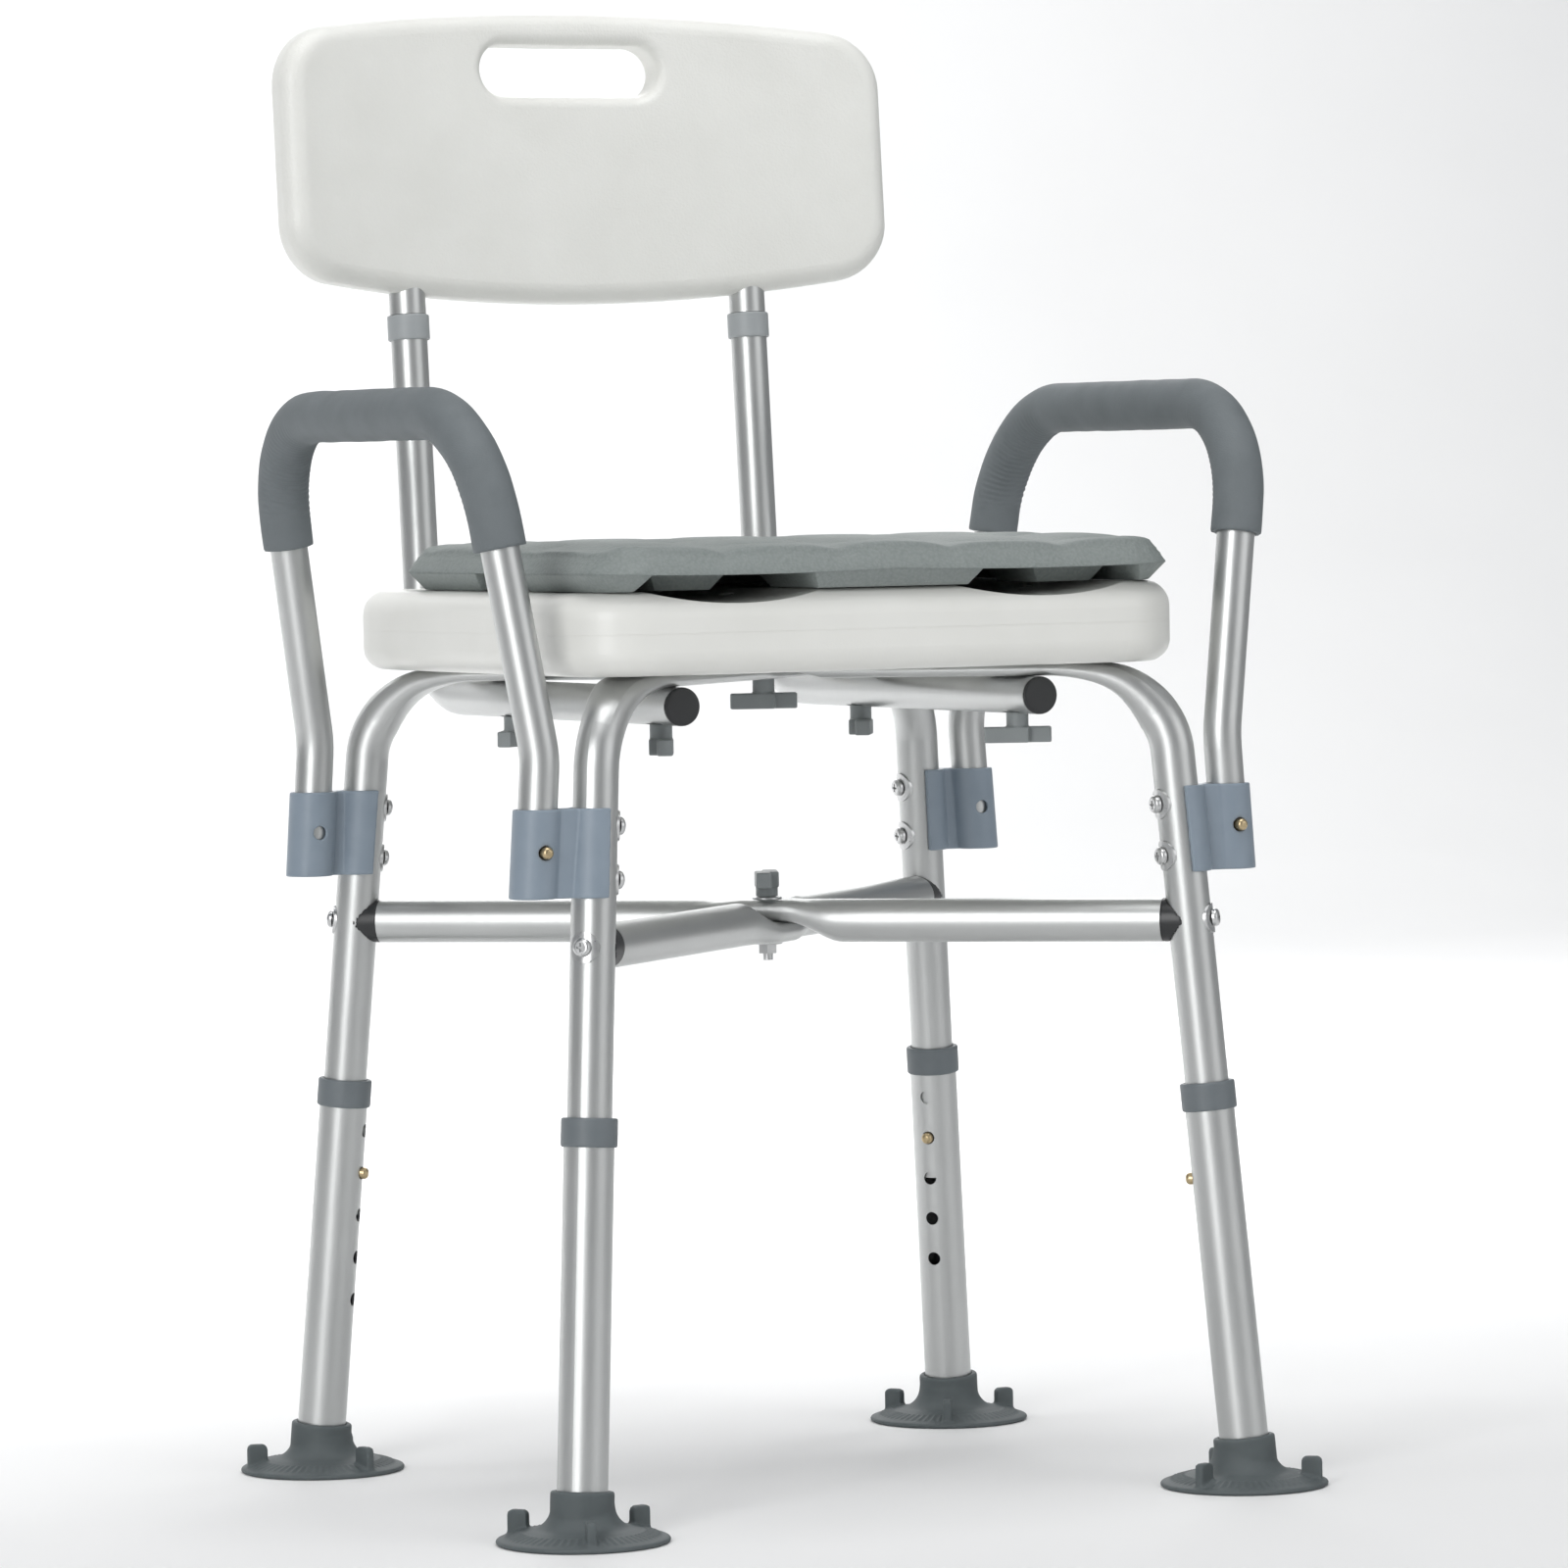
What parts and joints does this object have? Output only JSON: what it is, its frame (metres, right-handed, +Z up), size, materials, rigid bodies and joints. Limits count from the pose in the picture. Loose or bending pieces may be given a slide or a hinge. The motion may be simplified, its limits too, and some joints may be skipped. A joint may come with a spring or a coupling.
{
  "type": "shower chair",
  "caption": "Height-adjustable shower chair with a moulded backrest, lift-off padded armrests, a loose foam cushion and suction feet.",
  "frame": {"origin": "on the floor, under the middle of the chair's outer box", "axes": "+Z up, +X to the right seen from the front, -Y to the front, the way the sitter faces"},
  "size_m": [0.5256, 0.5128, 0.8772],
  "materials": {
    "aluminium_tube": "satin anodised drawn tube",
    "white_plastic": "off-white blow-moulded polyethylene, fine grain",
    "grey_plastic": "mid-grey moulded polypropylene",
    "bracket_plastic": "blue-grey moulded nylon, soft sheen",
    "knob_plastic": "grey moulded plastic",
    "black_plastic": "near-black moulded plastic",
    "foot_rubber": "dark grey-green rubber",
    "brass_button": "polished",
    "spring_steel": "spring steel",
    "zinc_steel": "zinc plated",
    "grip_foam": "mid-grey foam tube, finely wrinkled at its bends",
    "cushion_foam": "green-grey moulded foam with a pebbled skin"
  },
  "bodies": {
    "frame": {"seat_frame_tube_upper": "aluminium_tube", "seat_frame_tube_lower": "aluminium_tube", "leg_snap_springs": "spring_steel", "brace_tube_upper": "aluminium_tube", "brace_tube_lower": "aluminium_tube", "brace_saddles": "black_plastic", "brace_end_screws": "zinc_steel", "brace_end_washers": "zinc_steel", "brace_bolt_washers": "zinc_steel", "brace_bolt": "zinc_steel", "brace_nut": "zinc_steel", "bracket_screws": "zinc_steel", "bracket_washers": "zinc_steel", "back_post_left": "aluminium_tube", "back_post_right": "aluminium_tube", "post_collars": "grey_plastic", "post_end_caps": "black_plastic", "seat_panel": "white_plastic", "seat_inserts": "brass_button", "arm_bracket_front_left": "bracket_plastic", "arm_bracket_front_right": "bracket_plastic", "arm_bracket_rear_left": "bracket_plastic", "arm_bracket_rear_right": "bracket_plastic"},
    "cushion": {"cushion": "cushion_foam"},
    "backrest": {"backrest_panel": "white_plastic", "backrest_stub_tubes": "aluminium_tube", "backrest_screws": "zinc_steel", "backrest_snap_springs": "spring_steel"},
    "brace_knob": {"brace_knob": "knob_plastic"},
    "seat_knob_centre": {"seat_knob_centre": "knob_plastic"},
    "leg_front_left": {"lower_leg_front_left": "aluminium_tube", "leg_collar_front_left": "grey_plastic", "foot_front_left": "foot_rubber"},
    "leg_button_front_left": {"leg_button_front_left": "brass_button"},
    "seat_knob_front_left": {"seat_knob_front_left": "knob_plastic"},
    "leg_front_right": {"lower_leg_front_right": "aluminium_tube", "leg_collar_front_right": "grey_plastic", "foot_front_right": "foot_rubber"},
    "leg_button_front_right": {"leg_button_front_right": "brass_button"},
    "seat_knob_front_right": {"seat_knob_front_right": "knob_plastic"},
    "leg_rear_left": {"lower_leg_rear_left": "aluminium_tube", "leg_collar_rear_left": "grey_plastic", "foot_rear_left": "foot_rubber"},
    "leg_button_rear_left": {"leg_button_rear_left": "brass_button"},
    "seat_knob_rear_left": {"seat_knob_rear_left": "knob_plastic"},
    "leg_rear_right": {"lower_leg_rear_right": "aluminium_tube", "leg_collar_rear_right": "grey_plastic", "foot_rear_right": "foot_rubber"},
    "leg_button_rear_right": {"leg_button_rear_right": "brass_button"},
    "seat_knob_rear_right": {"seat_knob_rear_right": "knob_plastic"},
    "armrest_left": {"arm_tube_left": "aluminium_tube", "arm_grip_left": "grip_foam", "arm_spring_left": "spring_steel"},
    "arm_button_left": {"arm_button_left": "brass_button"},
    "armrest_right": {"arm_tube_right": "aluminium_tube", "arm_grip_right": "grip_foam", "arm_spring_right": "spring_steel"},
    "arm_button_right": {"arm_button_right": "brass_button"},
    "backrest_button_left": {"backrest_button_left": "brass_button"},
    "backrest_button_right": {"backrest_button_right": "brass_button"}
  },
  "joints": [
    {"name": "leg_slide_front_left", "type": "slide", "parent": "frame", "child": "leg_front_left", "axis": [0.0686, 0.059, 0.9959], "range_m": [-0.0254, 0.0762], "deforming": ["leg_button_front_left", "leg_snap_springs"]},
    {"name": "leg_button_press_front_left", "type": "slide", "parent": "frame", "child": "leg_button_front_left", "axis": [-0.7551, -0.6494, 0.0905], "range_m": [0, 0.0055], "stiffness_N_per_m": 600, "deforming": ["leg_snap_springs"]},
    {"name": "leg_slide_front_right", "type": "slide", "parent": "frame", "child": "leg_front_right", "axis": [-0.0686, 0.059, 0.9959], "range_m": [-0.0254, 0.0762], "deforming": ["leg_button_front_right", "leg_snap_springs"]},
    {"name": "leg_button_press_front_right", "type": "slide", "parent": "frame", "child": "leg_button_front_right", "axis": [0.7551, -0.6494, 0.0905], "range_m": [0, 0.0055], "stiffness_N_per_m": 600, "deforming": ["leg_snap_springs"]},
    {"name": "leg_slide_rear_left", "type": "slide", "parent": "frame", "child": "leg_rear_left", "axis": [0.0686, -0.059, 0.9959], "range_m": [-0.0254, 0.0762], "deforming": ["leg_button_rear_left", "leg_snap_springs"]},
    {"name": "leg_button_press_rear_left", "type": "slide", "parent": "frame", "child": "leg_button_rear_left", "axis": [-0.7551, 0.6494, 0.0905], "range_m": [0, 0.0055], "stiffness_N_per_m": 600, "deforming": ["leg_snap_springs"]},
    {"name": "leg_slide_rear_right", "type": "slide", "parent": "frame", "child": "leg_rear_right", "axis": [-0.0686, -0.059, 0.9959], "range_m": [-0.0254, 0.0762], "deforming": ["leg_button_rear_right", "leg_snap_springs"]},
    {"name": "leg_button_press_rear_right", "type": "slide", "parent": "frame", "child": "leg_button_rear_right", "axis": [0.7551, 0.6494, 0.0905], "range_m": [0, 0.0055], "stiffness_N_per_m": 600, "deforming": ["leg_snap_springs"]},
    {"name": "seat_knob_front_left_turn", "type": "hinge", "parent": "frame", "child": "seat_knob_front_left", "pos_m": [-0.1155, -0.12398, 0.4502], "axis": [0, 0, 1], "continuous": true},
    {"name": "seat_knob_front_right_turn", "type": "hinge", "parent": "frame", "child": "seat_knob_front_right", "pos_m": [0.1155, -0.12398, 0.4502], "axis": [0, 0, 1], "continuous": true},
    {"name": "seat_knob_rear_left_turn", "type": "hinge", "parent": "frame", "child": "seat_knob_rear_left", "pos_m": [-0.1155, 0.07469, 0.4502], "axis": [0, 0, 1], "continuous": true},
    {"name": "seat_knob_rear_right_turn", "type": "hinge", "parent": "frame", "child": "seat_knob_rear_right", "pos_m": [0.1155, 0.07469, 0.4502], "axis": [0, 0, 1], "continuous": true},
    {"name": "seat_knob_centre_turn", "type": "hinge", "parent": "frame", "child": "seat_knob_centre", "pos_m": [0, -0.02464, 0.4724], "axis": [0, 0, 1], "continuous": true},
    {"name": "brace_knob_turn", "type": "hinge", "parent": "frame", "child": "brace_knob", "pos_m": [0, -0.02464, 0.3422], "axis": [0, 0, 1], "continuous": true},
    {"name": "armrest_left_lift_off", "type": "slide", "parent": "frame", "child": "armrest_left", "axis": [0.0687, 0, 0.9976], "range_m": [0, 0.08], "deforming": ["arm_button_left", "arm_spring_left"]},
    {"name": "arm_button_press_left", "type": "slide", "parent": "armrest_left", "child": "arm_button_left", "axis": [0, 1, 0], "range_m": [0, 0.0068], "stiffness_N_per_m": 600, "deforming": ["arm_spring_left"]},
    {"name": "armrest_right_lift_off", "type": "slide", "parent": "frame", "child": "armrest_right", "axis": [-0.0687, 0, 0.9976], "range_m": [0, 0.08], "deforming": ["arm_button_right", "arm_spring_right"]},
    {"name": "arm_button_press_right", "type": "slide", "parent": "armrest_right", "child": "arm_button_right", "axis": [0, 1, 0], "range_m": [0, 0.0068], "stiffness_N_per_m": 600, "deforming": ["arm_spring_right"]},
    {"name": "backrest_lift_off", "type": "slide", "parent": "frame", "child": "backrest", "axis": [0, 0.0778, 0.997], "range_m": [0, 0.12], "deforming": ["backrest_button_left", "backrest_button_right", "backrest_snap_springs"]},
    {"name": "backrest_button_press_left", "type": "slide", "parent": "backrest", "child": "backrest_button_left", "axis": [0, -0.997, 0.0778], "range_m": [0, 0.0055], "stiffness_N_per_m": 600, "deforming": ["backrest_snap_springs"]},
    {"name": "backrest_button_press_right", "type": "slide", "parent": "backrest", "child": "backrest_button_right", "axis": [0, -0.997, 0.0778], "range_m": [0, 0.0055], "stiffness_N_per_m": 600, "deforming": ["backrest_snap_springs"]},
    {"name": "cushion_lift_off", "type": "slide", "parent": "frame", "child": "cushion", "axis": [0, 0, 1], "range_m": [0, 0.15]}
  ]
}
